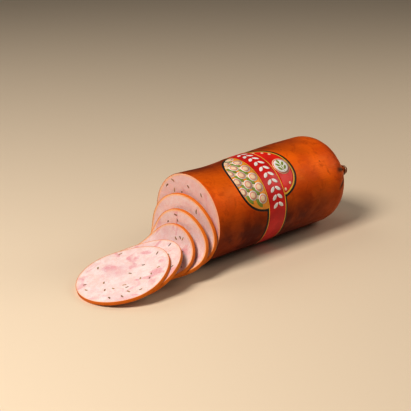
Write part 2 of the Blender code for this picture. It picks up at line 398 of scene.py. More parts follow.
def bump(tree, shader, height, distance):
    """Feeds a height in metres to the shader's normal."""
    node = add_node(tree, "ShaderNodeBump")
    node.inputs["Distance"].default_value = distance
    tree.links.new(height, node.inputs["Height"])
    tree.links.new(node.outputs["Normal"], shader.inputs["Normal"])


def smoke_group():
    """Smoked casing: orange where thin smoke settled, red-brown where it was heavier, with small dark
    spots, pin-point specks and faint lengthwise fibres. Gives colour, roughness and height."""
    group, inside, outside = new_group(
        "smoke",
        [("Place", "NodeSocketVector")],
        [("Colour", "NodeSocketColor"), ("Roughness", "NodeSocketFloat"), ("Height", "NodeSocketFloat")],
    )
    place = inside.outputs["Place"]
    shades = CASING_COLOURS
    broad = noise(group, place, 28.0, 3.0, 0.55)
    patches = noise(group, place, 110.0, 4.0, 0.6, 0.4)
    grain = noise(group, place, 700.0, 3.0, 0.6)
    fibres = noise(group, stretched(group, place, (0.08, 1.0, 1.0)), 900.0, 2.0, 0.5)
    brown = noise(group, place, 17.0, 2.0, 0.5, 0.3)
    colour = mixed(group, ranged(group, broad, 0.34, 0.66), shades["thicker"], shades["thin"])
    for mask, low, high, share, name in (
        (brown, 0.42, 0.62, 0.75, "brown"), (patches, 0.48, 0.76, 0.60, "patch"),
        (patches, 0.46, 0.28, 0.35, "light_patch"), (grain, 0.60, 0.80, 0.18, "grain"),
        (fibres, 0.50, 0.70, 0.16, "fibre"),
    ):
        colour = mixed(group, ranged(group, mask, low, high, 0.0, share), colour, shades[name])
    spots = add_node(group, "ShaderNodeTexVoronoi", feature="F1")
    spots.inputs["Scale"].default_value = 62.0
    group.links.new(place, spots.inputs["Vector"])
    spot = ranged(group, spots.outputs["Distance"], 0.10, 0.02, 0.0, 0.45)
    spot = combined(group, "MULTIPLY", spot, ranged(group, broad, 0.45, 0.60))
    colour = mixed(group, spot, colour, shades["spot"])
    group.links.new(colour, outside.inputs["Colour"])
    group.links.new(ranged(group, patches, 0.3, 0.7, 0.38, 0.54), outside.inputs["Roughness"])
    coarse = combined(group, "MULTIPLY", patches, 0.6)
    height = combined(group, "ADD", coarse, combined(group, "MULTIPLY", grain, 0.12))
    height = combined(group, "ADD", height, combined(group, "MULTIPLY", fibres, 0.08))
    group.links.new(height, outside.inputs["Height"])
    return group


def casing_material(name, smoke, paler=0.0):
    """Smoke on the casing, read by Object coordinates. The attribute painted_shade tells where painted shade
    darkens it along the ridge, over the underside and on the tail, and fold where painted shade
    darkens its creases; a mesh without them has no painted shade. Paler mixes in the tan of a thin cut edge."""
    material, shader = plain_material(name, (0.5, 0.1, 0.01), 0.4)
    tree = material.node_tree
    coordinates = add_node(tree, "ShaderNodeTexCoord")
    group = add_node(tree, "ShaderNodeGroup", node_tree=smoke)
    tree.links.new(coordinates.outputs["Object"], group.inputs["Place"])
    painted_shade = add_node(tree, "ShaderNodeAttribute", attribute_name="painted_shade").outputs["Fac"]
    fold = add_node(tree, "ShaderNodeAttribute", attribute_name="fold").outputs["Fac"]
    colour = mixed(tree, paler, group.outputs["Colour"], CASING_COLOURS["cut_edge"])
    clouds = noise(tree, coordinates.outputs["Object"], 48.0, 3.0, 0.6, 0.3)
    cloudy = ranged(tree, clouds, 0.36, 0.62, 0.80, 1.04)
    # Painted shade along the ridge and underside, mottled by the clouds
    colour = mixed(tree, combined(tree, "MULTIPLY", painted_shade, cloudy), colour, CASING_COLOURS["painted_shade"])
    # Painted shade in the creases
    colour = mixed(tree, fold, colour, CASING_COLOURS["fold"])
    tree.links.new(colour, shader.inputs["Base Color"])
    tree.links.new(group.outputs["Roughness"], shader.inputs["Roughness"])
    bump(tree, shader, group.outputs["Height"], 0.35 * MM)
    shader.inputs["Specular IOR Level"].default_value = 0.22
    shader.inputs["Specular Tint"].default_value = (1.0, 0.45, 0.10, 1.0)
    return material


def store(piece, name, values):
    """Stores one number on each point of a mesh, for its material to read."""
    piece.data.attributes.new(name, "FLOAT", "POINT").data.foreach_set("value", values)


def make_casing(material):
    """One closed skin: a lip inside the cut, the barrel, the round end, the pleated gather and the tail."""
    angle = np.arange(AROUND) * 2 * math.pi / AROUND
    lip = barrel_point(np.array([LIP_DEPTH, 0.12 * MM, 0.0])[:, None], angle[None, :], -CASING_THICKNESS)
    stations = np.concatenate([[0.0, 0.15 * MM], np.linspace(0.6 * MM, BARREL_LENGTH, BARREL_RINGS)])
    barrel = barrel_point(stations[:, None], angle[None, :])
    barrel[0] = barrel_point(np.zeros(AROUND), angle, -0.08 * MM)
    degrees = np.linspace(90, 8, DOME_RINGS + 1)[1:]
    dome, dome_fold = dome_points(degrees[:, None] + 0 * angle, angle + 0 * degrees[:, None])
    distances = np.linspace(TAIL_DISTANCES[0], TAIL_DISTANCES[-1], TAIL_RINGS)
    tail = tail_points(distances[:, None] + 0 * angle, angle + 0 * distances[:, None])
    rings = np.concatenate([lip, barrel, dome, tail])
    count = len(rings)
    poles = np.stack([rings[0].mean(axis=0), rings[-1].mean(axis=0)])
    points = np.vstack([rings.reshape(-1, 3), poles])
    faces = [
        ring_faces(count, AROUND),
        cap_faces(count * AROUND, 0, AROUND, outward=False),
        cap_faces(count * AROUND + 1, (count - 1) * AROUND, AROUND),
    ]
    piece = mesh_piece("casing", points, faces, material)
    # Painted shade: darker along the top ridge and over the underside, less towards the tied end, and the
    # tail darkened evenly
    from_top = np.degrees(signed_angle(angle))
    ridge = PAINTED_SHADE_RIDGE[0] * np.exp(-((from_top - PAINTED_SHADE_RIDGE[1]) / PAINTED_SHADE_RIDGE[2]) ** 2)
    below = PAINTED_SHADE_BELOW[0] * smoothstep((np.abs(from_top) - PAINTED_SHADE_BELOW[1]) / PAINTED_SHADE_BELOW[2])
    from_cut = rings[:, :, 0].mean(axis=1) - CUT_X
    thin = smoothstep((from_cut - PAINTED_SHADE_FADES[0]) / (PAINTED_SHADE_FADES[1] - PAINTED_SHADE_FADES[0]))[:, None]
    painted_shade = np.maximum(ridge * (1 - 0.45 * thin), below * (1 - 0.65 * thin))
    painted_shade[-TAIL_RINGS:] = 0.3
    # Painted shade in the creases of the gather and the tail's flutes, darkest at the tail's tip
    fold = np.zeros((count, AROUND))
    fold[len(lip) + len(barrel):][:DOME_RINGS] = np.clip(1.7 * dome_fold, 0, 0.92)
    fold[-TAIL_RINGS:] = 0.15 + 0.6 * np.clip(pleat_shape(angle + 0.2), 0, 1)
    store(piece, "painted_shade", np.append(painted_shade.ravel(), [0.0, 0.8]))
    store(piece, "fold", np.append(fold.ravel(), [0.0, 0.8]))
    return piece


smoke = smoke_group()
casing_finish = casing_material("smoked_casing", smoke)
casing = make_casing(casing_finish)
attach(casing, "root")
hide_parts("sausage")


# The cut meat.
# Coarsely minced pork in a fine pale farce, cooked firm. The knife leaves it flat and moist, with rose pieces
# of lean meat and a thin warm ring under the casing where the smoke went in.

MEAT_RADIUS = GIRTHS[0][1] - CASING_THICKNESS
MEAT_DEPTH = 1.4 * MM
SET_IN = 0.02 * MM
CUT_PATTERN_PLACE = 0.4
MEAT_COLOURS = {
    "farce": (0.82, 0.60, 0.56),
    "pale_farce": (0.86, 0.72, 0.70),
    "mauve": (0.74, 0.48, 0.49),
    "lean": (0.72, 0.27, 0.32),
    "fat": (0.90, 0.77, 0.71),
    "fibre": (0.66, 0.38, 0.35),
    "darker_rose": (0.60, 0.30, 0.29),
    "smoked": (0.92, 0.48, 0.20),
}
MEAT_AROUND = 240
MEAT_RINGS = 36


def meat_material():
    """Reads the attribute place, each point's place in the uncut sausage, so that a slice that bends keeps
    its pattern. The attribute rim counts from 0 in the middle to 1 at the casing, ring is how far the smoke
    has warmed the meat there, and darkened is 1 for the sausage's cut face and less for the slices."""
    material, shader = plain_material("cut_meat", (0.8, 0.55, 0.48), 0.42)
    tree = material.node_tree
    place = add_node(tree, "ShaderNodeAttribute", attribute_name="place").outputs["Vector"]
    rim = add_node(tree, "ShaderNodeAttribute", attribute_name="rim").outputs["Fac"]
    ring = add_node(tree, "ShaderNodeAttribute", attribute_name="ring").outputs["Fac"]
    darkened = add_node(tree, "ShaderNodeAttribute", attribute_name="darkened").outputs["Fac"]
    shades = MEAT_COLOURS
    pieces = noise(tree, place, 54.0, 3.0, 0.55, 1.1)
    small = noise(tree, place, 190.0, 3.0, 0.6, 0.5)
    grain = noise(tree, place, 800.0, 3.0, 0.65)
    mauve = noise(tree, place, 36.0, 2.0, 0.5, 0.5)
    colour = mixed(tree, ranged(tree, small, 0.32, 0.68), shades["farce"], shades["pale_farce"])
    colour = mixed(tree, ranged(tree, mauve, 0.46, 0.68, 0.0, 0.50), colour, shades["mauve"])
    lean = ranged(tree, small, 0.36, 0.56, 0.55, 1.0)
    lean = combined(tree, "MULTIPLY", ranged(tree, pieces, 0.54, 0.68), lean)
    colour = mixed(tree, combined(tree, "MULTIPLY", lean, 0.75), colour, shades["lean"])
    colour = mixed(tree, ranged(tree, grain, 0.52, 0.70, 0.0, 0.55), colour, shades["fat"])
    colour = mixed(tree, ranged(tree, grain, 0.46, 0.28, 0.0, 0.50), colour, shades["fibre"])
    # Darker rose on the sausage's cut face, less on the slices that stand and almost none on those that lie
    colour = mixed(tree, combined(tree, "MULTIPLY", darkened, 0.46), colour, shades["darker_rose"])
    warm = combined(tree, "MULTIPLY", ranged(tree, rim, 0.93, 0.985), ring)
    colour = mixed(tree, warm, colour, shades["smoked"])
    tree.links.new(colour, shader.inputs["Base Color"])
    tree.links.new(ranged(tree, small, 0.3, 0.7, 0.36, 0.52), shader.inputs["Roughness"])
    coarse = combined(tree, "MULTIPLY", small, 0.5)
    height = combined(tree, "ADD", coarse, combined(tree, "MULTIPLY", grain, 0.35))
    bump(tree, shader, height, 0.25 * MM)
    shader.inputs["Coat Weight"].default_value = 0.35
    shader.inputs["Coat Roughness"].default_value = 0.38
    shader.inputs["Subsurface Weight"].default_value = 0.18
    shader.inputs["Subsurface Radius"].default_value = (0.9, 0.35, 0.25)
    shader.inputs["Subsurface Scale"].default_value = 3 * MM
    return material


def disc_faces(rings, count):
    """Faces of a closed lens: a pole, rings out over the front to the edge and back over the rear, and a
    second pole. Point 0 is the front pole and the last point the rear one."""
    body = ring_faces(rings, count)[:, ::-1] + 1
    front = cap_faces(0, 1, count)
    rear = cap_faces(rings * count + 1, 1 + (rings - 1) * count, count, outward=False)
    return [front, body, rear]


def lens_section(rings, radius, thickness, rounding):
    """Distance from the middle and height of each ring of a disc: even steps over the front, a rounded
    edge, and even steps back over the rear. Height is 0 on the front and minus the thickness at the rear."""
    flat = np.linspace(0, radius - rounding, rings + 1)[1:]
    bend = np.linspace(0, math.pi / 2, 5)[1:]
    edge = radius - rounding + rounding * np.sin(bend)
    drop = -rounding + rounding * np.cos(bend)
    out = np.concatenate([flat, edge])
    down = np.concatenate([0 * flat, drop])
    return np.concatenate([out, out[::-1]]), np.concatenate([down, -thickness - down[::-1]])


def mark(piece, place, rim, ring, darkened):
    """Stores on each point its place in the uncut sausage and what else the meat's colour reads."""
    piece.data.attributes.new("place", "FLOAT_VECTOR", "POINT").data.foreach_set("vector", place.ravel())
    store(piece, "rim", rim)
    store(piece, "ring", np.full(len(rim), ring))
    store(piece, "darkened", np.full(len(rim), darkened))


def make_cut_face(material):
    """A closed disc of meat set into the lip of the casing, flattened underneath as the casing is."""
    out, down = lens_section(MEAT_RINGS, MEAT_RADIUS, MEAT_DEPTH, 0.15 * MM)
    turn = np.arange(MEAT_AROUND) * 2 * math.pi / MEAT_AROUND
    y = np.concatenate([[0.0], (-out[:, None] * np.sin(turn)).ravel(), [0.0]])
    z = np.concatenate([[0.0], (out[:, None] * np.cos(turn)).ravel(), [0.0]])
    depth = np.concatenate([[0.0], np.repeat(-down, MEAT_AROUND), [MEAT_DEPTH]])
    height = np.maximum(z + axis_height(GIRTHS[0][1]), 0.3 * MM)
    points = np.stack([CUT_X + SET_IN + depth, y, height], axis=1)
    faces = [group[:, ::-1] for group in disc_faces(len(out), MEAT_AROUND)]
    piece = mesh_piece("cut_face", points, faces, material)
    place = np.stack([CUT_PATTERN_PLACE + depth, y, z], axis=1)
    mark(piece, place, np.hypot(y, z) / MEAT_RADIUS, 0.6, 1.0)
    return piece


meat_finish = meat_material()
cut_face = make_cut_face(meat_finish)
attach(cut_face, "root")


# The slices.
# Five slices 3 mm thick, each with its own ring of casing round the meat. They stand on their feet in
# front of the cut, sagging under their own weight, and each leans on the one behind it.

SLICE_RADIUS = 42.2 * MM
SLICE_THICKNESS = 3.0 * MM
BEND_SPAN = 0.55
BEND_STEPS = 500
PALER_EDGE = 0.55
SLICE_UNEVENNESS = 0.3 * MM
# Middle of the front face from the cut and to the side, turn about the vertical, slope of the flat upper
# part and of the foot, the share of the way up about which the slope changes, and how far the line of the
# bend is turned from level
SLICES = (
    (-4.8 * MM, 0.6 * MM, 1.2, 90.8, 12.6, 0.42, 8.2),
    (-11.7 * MM, -3.8 * MM, -3.7, 89.0, 13.2, 0.60, 5.7),
    (-24.5 * MM, -4.2 * MM, -8.4, 79.3, 11.9, 0.74, 4.8),
    (-66.6 * MM, -8.4 * MM, -21.0, 28.9, 13.3, 0.59, -12.3),
    (-80.8 * MM, -8.6 * MM, -19.4, 29.1, 13.2, 0.70, -10.8),
)
# How strongly the smoke has warmed each slice's rim, how much darker rose its meat is made, and how far
# along the uncut sausage its pattern is read
RING_STRENGTHS = (0.9, 0.9, 0.7, 0.3, 0.25)
DARKENING = (0.45, 0.45, 0.4, 0.05, 0.0)
PATTERN_PLACES = (0.17, 0.42, 0.51, 0.84, 1.05)


def slice_axes(number):
    """Directions of a slice's flat upper part: up across the bend, along the bend, and out of the front."""
    turn, slope, _, _, bend_turn = SLICES[number - 1][2:]
    turn, slope, bend_turn = math.radians(turn), math.radians(slope), math.radians(bend_turn)
    upward = np.array([math.cos(slope) * math.cos(turn), math.cos(slope) * math.sin(turn), math.sin(slope)])
    level = np.array([-math.sin(turn), math.cos(turn), 0.0])
    over = math.cos(bend_turn) * upward + math.sin(bend_turn) * level
    return over, math.cos(bend_turn) * level - math.sin(bend_turn) * upward, np.cross(upward, level)


def bent_sheet(number, over, along, height):
    """A point of a slice from its flat coordinates, counted from the middle across and along its bend. The
    section is the running sum of a slope that eases from the foot's to the upper part's, and height is
    square to it. Lowest points aren't yet brought down to the table."""
    from_cut, offset, _, top_slope, foot_slope, bend_at, _ = SLICES[number - 1]
    fine = np.linspace(-SLICE_RADIUS - 1 * MM, SLICE_RADIUS, BEND_STEPS)
    ease = smoothstep((fine / (2 * SLICE_RADIUS) + 0.5 - bend_at) / BEND_SPAN + 0.5)
    bend = math.radians(top_slope - foot_slope) * (1 - ease)
    step = fine[1] - fine[0]
    up = np.concatenate([[0.0], np.cumsum((np.cos(bend[1:]) + np.cos(bend[:-1])) / 2 * step)])
    out = -np.concatenate([[0.0], np.cumsum((np.sin(bend[1:]) + np.sin(bend[:-1])) / 2 * step)])
    here = np.interp(over, fine, bend)
    up = np.interp(over, fine, up - up[-1] + SLICE_RADIUS) + height * np.sin(here)
    out = np.interp(over, fine, out - out[-1]) + height * np.cos(here)
    round_the_rim = np.arccos(np.clip(-over / SLICE_RADIUS, -1, 1))
    along = along + SLICE_UNEVENNESS * np.sin(2 * round_the_rim + number) * np.sin(round_the_rim)
    across_bend, along_bend, front_way = slice_axes(number)
    return (np.array([CUT_X + from_cut, offset, 0.0]) + up[..., None] * across_bend
            + along[..., None] * along_bend + out[..., None] * front_way)


def slice_point(number, up, across, height):
    """A point of a slice by its flat coordinates from the middle, up and across, and by height square to the
    front face. The slice is lifted until its lowest point rests on the table."""
    bend_turn = math.radians(SLICES[number - 1][6])
    turn = np.linspace(0, 2 * math.pi, 361)
    rim = SLICE_RADIUS * np.stack([np.cos(turn), np.sin(turn)])
    lowest = min(bent_sheet(number, rim[0], rim[1], drop)[:, 2].min() for drop in (0.0, -SLICE_THICKNESS))
    over = up * math.cos(bend_turn) + across * math.sin(bend_turn)
    along = across * math.cos(bend_turn) - up * math.sin(bend_turn)
    return bent_sheet(number, over, along, height) - np.array([0.0, 0.0, lowest])


def make_slice_meat(number, material):
    """The meat of a slice: a closed disc carried onto the bent sheet."""
    out, down = lens_section(MEAT_RINGS, SLICE_RADIUS - 0.25 * MM, SLICE_THICKNESS, 0.2 * MM)
    turn = np.arange(MEAT_AROUND) * 2 * math.pi / MEAT_AROUND
    up = np.concatenate([[0.0], (-out[:, None] * np.cos(turn)).ravel(), [0.0]])
    across = np.concatenate([[0.0], (-out[:, None] * np.sin(turn)).ravel(), [0.0]])
    height = np.concatenate([[0.0], np.repeat(down, MEAT_AROUND), [-SLICE_THICKNESS]])
    points = slice_point(number, up, across, height)
    piece = mesh_piece(f"slice_{number}_meat", points, disc_faces(len(out), MEAT_AROUND), material)
    place = np.stack([height + PATTERN_PLACES[number - 1], across, up], axis=1)
    mark(piece, place, np.hypot(up, across) / SLICE_RADIUS, RING_STRENGTHS[number - 1], DARKENING[number - 1])
    return piece


def make_slice_ring(number, material):
    """The ring of casing: a flat band with rounded edges, carried round the slice's rim."""
    turn = np.arange(MEAT_AROUND) * 2 * math.pi / MEAT_AROUND
    inner = SLICE_RADIUS - CASING_THICKNESS
    section = np.array([
        (inner, 0.02 * MM), (inner + 0.12 * MM, 0.06 * MM), (SLICE_RADIUS - 0.04 * MM, 0.03 * MM),
        (SLICE_RADIUS, -0.12 * MM), (SLICE_RADIUS + 0.05 * MM, -0.5 * SLICE_THICKNESS),
        (SLICE_RADIUS, 0.12 * MM - SLICE_THICKNESS), (SLICE_RADIUS - 0.04 * MM, -0.03 * MM - SLICE_THICKNESS),
        (inner + 0.12 * MM, -0.06 * MM - SLICE_THICKNESS), (inner, -0.02 * MM - SLICE_THICKNESS),
        (inner - 0.1 * MM, -0.5 * SLICE_THICKNESS),
    ])
    up = -section[None, :, 0] * np.cos(turn[:, None])
    across = -section[None, :, 0] * np.sin(turn[:, None])
    points = slice_point(number, up, across, section[None, :, 1] + 0 * across)
    faces = ring_faces(MEAT_AROUND + 1, len(section)) % (MEAT_AROUND * len(section))
    return mesh_piece(f"slice_{number}_casing", points.reshape(-1, 3), [faces], material)


edge_finish = casing_material("casing_edge", smoke, PALER_EDGE)
for number in range(1, len(SLICES) + 1):
    for piece, slot in ((make_slice_meat(number, meat_finish), "cut_meat"),
                        (make_slice_ring(number, edge_finish), "casing")):
        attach(piece, "root")
        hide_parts(f"slice_{number}")


# The caraway.
# Whole caraway seeds that were mixed into the meat: curved, pointed at both ends and ribbed along. In a cut
# they lie flush or stand a little proud of it, tan to dark brown.

SEED_LENGTH = 5.0 * MM
SEED_WIDTH = 1.4 * MM
SEED_RISE = 0.16 * MM
SEEDS_ON_A_FACE = 20
SEED_SPACING = 3.2 * MM
SEED_MARGIN = 4 * MM
SEED_RIBS = 5.0
SEED_STEPS = 8
SEED_AROUND = 6


def face_point(number, rear, up, across, height):
    """A point by its flat place on a slice's front or rear face, or on the cut face as number 0, and by its
    height out of that face."""
    if number == 0:
        x = CUT_X + SET_IN - height
        return np.stack([x, across, up + axis_height(GIRTHS[0][1])], axis=-1)
    return slice_point(number, up, across, -SLICE_THICKNESS - height if rear else height)


def seed_shape(length, bow):
    """Flat place and height of one seed round its middle: along it the width follows a sine to the power
    0.7, the line bows as a parabola, and the section is an ellipse that is deeper below the cut."""
    along = np.linspace(0.02, math.pi - 0.02, SEED_STEPS)[:, None]
    around = np.arange(SEED_AROUND)[None, :] * 2 * math.pi / SEED_AROUND
    swell = np.sin(along) ** 0.7
    reach = -0.5 * length * np.cos(along)
    side = 0.5 * SEED_WIDTH * swell * np.cos(around) + bow * (1 - (2 * reach / length) ** 2)
    rise = np.sin(around) * swell * np.where(np.sin(around) > 0, SEED_RISE, 2 * SEED_RISE)
    return reach + 0 * side, side, rise, around + 0 * side


def scatter_seeds(draw, count, radius, spacing):
    """Places inside a circle, drawn one by one and kept where no earlier one is closer than spacing."""
    places = []
    while len(places) < count:
        place = draw.uniform(-radius, radius, 2)
        if np.hypot(*place) < radius and all(np.hypot(*(place - other)) > spacing for other in places):
            places.append(place)
    return np.array(places)


def seed_material():
    """Reads the attributes tone, each seed's own darkness, and rib, the angle round it."""
    material, shader = plain_material("caraway", (0.1, 0.05, 0.02), 0.55)
    tree = material.node_tree
    tone = add_node(tree, "ShaderNodeAttribute", attribute_name="tone").outputs["Fac"]
    rib = add_node(tree, "ShaderNodeAttribute", attribute_name="rib").outputs["Fac"]
    colour = mixed(tree, tone, (0.50, 0.26, 0.10), (0.17, 0.070, 0.026))
    ribs = combined(tree, "SINE", combined(tree, "MULTIPLY", rib, SEED_RIBS), 0.0)
    colour = mixed(tree, ranged(tree, ribs, 0.5, 1.0, 0.0, 0.45), colour, (0.52, 0.34, 0.16))
    tree.links.new(colour, shader.inputs["Base Color"])
    bump(tree, shader, ribs, 0.05 * MM)
    return material


def make_seeds(material):
    """All the seeds as one mesh of closed spindles, drawn afresh for every face."""
    draw = np.random.RandomState(21)
    one = ring_faces(SEED_STEPS, SEED_AROUND)
    ends = [cap_faces(SEED_STEPS * SEED_AROUND, 0, SEED_AROUND, outward=False),
            cap_faces(SEED_STEPS * SEED_AROUND + 1, (SEED_STEPS - 1) * SEED_AROUND, SEED_AROUND)]
    points, faces, tones, ribs = [], [], [], []
    sides = [(0, False)] + [(number, rear) for number in range(1, len(SLICES) + 1) for rear in (False, True)]
    for number, rear in sides:
        for middle in scatter_seeds(draw, SEEDS_ON_A_FACE, SLICE_RADIUS - SEED_MARGIN, SEED_SPACING):
            length = SEED_LENGTH * draw.uniform(0.5, 1.0)
            along, side, rise, around = seed_shape(length, draw.uniform(-0.5, 0.5) * MM)
            turn = draw.uniform(0, math.pi)
            up = middle[0] + along * math.cos(turn) - side * math.sin(turn)
            across = middle[1] + along * math.sin(turn) + side * math.cos(turn)
            grid = face_point(number, rear, up, across, rise)
            start = len(points) * (SEED_STEPS * SEED_AROUND + 2)
            flip = -1 if rear else 1
            faces += [start + group[:, ::flip] for group in (one, *ends)]
            points.append(np.vstack([grid.reshape(-1, 3), grid[0].mean(axis=0), grid[-1].mean(axis=0)]))
            tones.append(np.full(len(points[-1]), draw.uniform(0, 1)))
            ribs.append(np.append(around.ravel(), [0.0, 0.0]))
    piece = mesh_piece("caraway", np.vstack(points), faces, material)
    store(piece, "tone", np.concatenate(tones))
    store(piece, "rib", np.concatenate(ribs))
    return piece


caraway = make_seeds(seed_material())
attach(caraway, "root")


# The wrap.
# A strap of printed plastic film, stretched round the sausage and open underneath, that widens to a panel on
# one side. The film itself is nearly black and shows as a rim; the inks lie on it one over the other.

STRAP = (60.0 * MM, 86.0 * MM)
PANEL = (32.0 * MM, 107.0 * MM)
PANEL_MIDDLE = math.radians(38)
PANEL_SPAN_ABOVE = math.radians(55)
PANEL_SPANS_BELOW = (math.radians(48), math.radians(40))
PANEL_SQUARENESS = (2.0, 2.5)
WRAP_END = math.radians(160)
PRINTED_STRAP = (62.0 * MM, 84.4 * MM)
LINE_WIDTH = 0.9 * MM
RIM = 1.9 * MM
BORDER = 1.7 * MM
FILM = 0.03 * MM
INK_STEP = 0.045 * MM
GRID_PITCH = 11.4 * MM
ROUND_RADII = (4.8 * MM, 3.9 * MM, 2.7 * MM)
PAIRS = 10
PAIR_PITCH = 7.6
FIRST_PAIR = -35.0
PAIR_SLANT = math.radians(38)
ROUNDEL = (94.6 * MM, -1.5 * MM)
ROUNDEL_RADII = (9.2 * MM, 8.3 * MM, 7.7 * MM)
DOTS_AT = (-30.5, -25.0, -19.5, 17.0, 21.5)
DOTS_INSIDE_BORDER = 2.6 * MM
INKS = {
    "black": (0.012, 0.010, 0.008),
    "deep_red": (0.66, 0.010, 0.006),
    "red": (0.76, 0.020, 0.008),
    "gold": (0.90, 0.56, 0.060),
    "white": (0.86, 0.84, 0.80),
    "cream": (0.90, 0.68, 0.46),
    "orange": (0.86, 0.36, 0.045),
    "rose": (0.80, 0.36, 0.26),
    "green": (0.26, 0.34, 0.05),
}


def panel_edge(angle, side, inset=0.0):
    """The panel's left (0) or right (1) edge as a distance from the cut, drawn in by inset all round. It is
    an ellipse above the panel's middle and a slightly squarer curve below, with its own span each side."""
    middle = sum(PANEL) / 2
    reach = PANEL[side] - middle + (inset if side == 0 else -inset)
    above = angle < PANEL_MIDDLE
    span = np.where(above, PANEL_SPAN_ABOVE, PANEL_SPANS_BELOW[side]) - inset / DOME_RADIUS
    power = np.where(above, *PANEL_SQUARENESS)
    bulge = np.maximum(0.0, 1 - np.abs((angle - PANEL_MIDDLE) / span) ** power) ** (1 / power)
    return middle + reach * bulge


def band(name, angle, left, right, level, material, columns=12):
    """A closed sheet of film that follows the barrel from angle to angle, between two edges given as
    distances from the cut. Each row is a loop: left to right on top, and back underneath."""
    share = np.linspace(0, 1, columns + 1)
    top = left[:, None] + (right - left)[:, None] * share
    height = np.array([level * INK_STEP] * (columns + 1) + [level * INK_STEP - FILM] * (columns + 1))
    loop = np.concatenate([top, top[:, ::-1]], axis=1)
    points = barrel_point(loop, angle[:, None] + 0 * loop, height[None, :] + 0 * loop)
    count = 2 * (columns + 1)
    sides = ring_faces(len(angle), count)[:, ::-1]
    j = np.arange(columns)
    first = np.stack([j, j + 1, count - 2 - j, count - 1 - j], axis=1)
    last = (len(angle) - 1) * count + first[:, ::-1]
    return mesh_piece(name, points.reshape(-1, 3), [sides, first, last], material)


def trimmed(middle, shape):
    """A patch's outline cut off at the left field's edge: each point is drawn back towards the patch's
    middle in fortieths until all of the way to it lies inside the field."""
    share = np.linspace(0, 1, 41)[:, None]
    x = middle[0] + share * shape[:, 0]
    arc = middle[1] + share * shape[:, 1]
    inside = (panel_edge(PANEL_MIDDLE + arc / DOME_RADIUS, 0, RIM) < x) & (x < PRINTED_STRAP[0])
    steps_inside = np.logical_and.accumulate(inside, axis=0).sum(axis=0)
    return shape * share[steps_inside - 1]


def patches(name, middles, turns, outline, level, material, rings=3, trim=False):
    """Many like patches of film in one mesh: the outline is scaled from nothing to full in rings, turned and
    set about each middle, which is a distance from the cut and an arc length from the panel's middle. With
    trim, each is cut off at the left field's edge."""
    share = np.linspace(0, 1, rings + 1)[1:]
    share = np.concatenate([share, share[::-1]])
    height = np.array([level * INK_STEP] * rings + [level * INK_STEP - FILM] * rings)
    points, faces = [], []
    for middle, turn in zip(middles, turns):
        spin = np.array([[math.cos(turn), math.sin(turn)], [-math.sin(turn), math.cos(turn)]])
        shape = trimmed(middle, outline @ spin) if trim else outline @ spin
        flat = np.asarray(middle) + share[:, None, None] * shape
        place = np.vstack([[middle], flat.reshape(-1, 2), [middle]])
        lift = np.concatenate([height[:1], np.repeat(height, len(outline)), height[-1:]])
        start = len(points) * len(place)
        faces += [start + group[:, ::-1] for group in disc_faces(2 * rings, len(outline))]
        points.append(barrel_point(place[:, 0], PANEL_MIDDLE + place[:, 1] / DOME_RADIUS, lift))
    return mesh_piece(name, np.vstack(points), faces, material)


def disc_outline(radius, count=32):
    """A circle as cosines and sines of even turns."""
    turn = np.arange(count) * 2 * math.pi / count
    return radius * np.stack([np.cos(turn), np.sin(turn)], axis=1)


def leaf_outline(length, width, count=28):
    """A pointed leaf or seed: a circle squeezed to the width and pinched at the ends."""
    turn = np.arange(count) * 2 * math.pi / count
    across = 0.5 * width * np.sin(turn) * np.abs(np.sin(turn)) ** 0.4
    return np.stack([0.5 * length * np.cos(turn), across], axis=1)


def film_group():
    """Printed film: the ink varies a little, is scuffed in short fine marks and creases softly. Gives
    colour, roughness and height."""
    group, inside, outside = new_group(
        "printed_film",
        [("Place", "NodeSocketVector"), ("Ink", "NodeSocketColor")],
        [("Colour", "NodeSocketColor"), ("Roughness", "NodeSocketFloat"), ("Height", "NodeSocketFloat")],
    )
    place = inside.outputs["Place"]
    broad = noise(group, place, 90.0, 3.0, 0.5)
    fine = noise(group, stretched(group, place, (1.0, 0.3, 0.3)), 1500.0, 2.0, 0.6)
    shade = ranged(group, broad, 0.35, 0.70, 0.0, 0.22)
    colour = mixed(group, shade, inside.outputs["Ink"], (0.05, 0.01, 0.01))
    colour = mixed(group, ranged(group, fine, 0.62, 0.80, 0.0, 0.18), colour, (0.85, 0.75, 0.65))
    group.links.new(colour, outside.inputs["Colour"])
    group.links.new(ranged(group, broad, 0.3, 0.7, 0.30, 0.42), outside.inputs["Roughness"])
    group.links.new(broad, outside.inputs["Height"])
    return group


def ink_material(name, colour, film):
    """One ink on the film, with a soft gloss."""
    material, shader = plain_material("ink_" + name, colour, 0.35)
    tree = material.node_tree
    coordinates = add_node(tree, "ShaderNodeTexCoord")
    group = add_node(tree, "ShaderNodeGroup", node_tree=film)
    group.inputs["Ink"].default_value = (*colour, 1.0)
    tree.links.new(coordinates.outputs["Object"], group.inputs["Place"])
    tree.links.new(group.outputs["Colour"], shader.inputs["Base Color"])
    tree.links.new(group.outputs["Roughness"], shader.inputs["Roughness"])
    bump(tree, shader, group.outputs["Height"], 0.25 * MM)
    shader.inputs["Specular IOR Level"].default_value = 0.35
    return material


def make_strap_films(inks):
    """The black film with its panel, the red print along the strap and a gold line down each side of it."""
    angle = np.linspace(-WRAP_END, WRAP_END, 321)
    left = np.minimum(STRAP[0], panel_edge(angle, 0))
    right = np.maximum(STRAP[1], panel_edge(angle, 1))
    full = np.ones(len(angle))
    low, high = PRINTED_STRAP
    return [
        band("wrap_film", angle, left, right, 2, inks["black"], 40),
        band("wrap_strap", angle, low * full, high * full, 4, inks["deep_red"], 14),
        band("wrap_line_left", angle, low * full, (low + LINE_WIDTH) * full, 5, inks["gold"], 2),
        band("wrap_line_right", angle, (high - LINE_WIDTH) * full, high * full, 5, inks["gold"], 2),
    ]


def field_rows(left, right, angle):
    """Only the rows where a field is wide enough to print."""
    wide = right - left > 0.3 * MM
    return angle[wide], left[wide], right[wide]


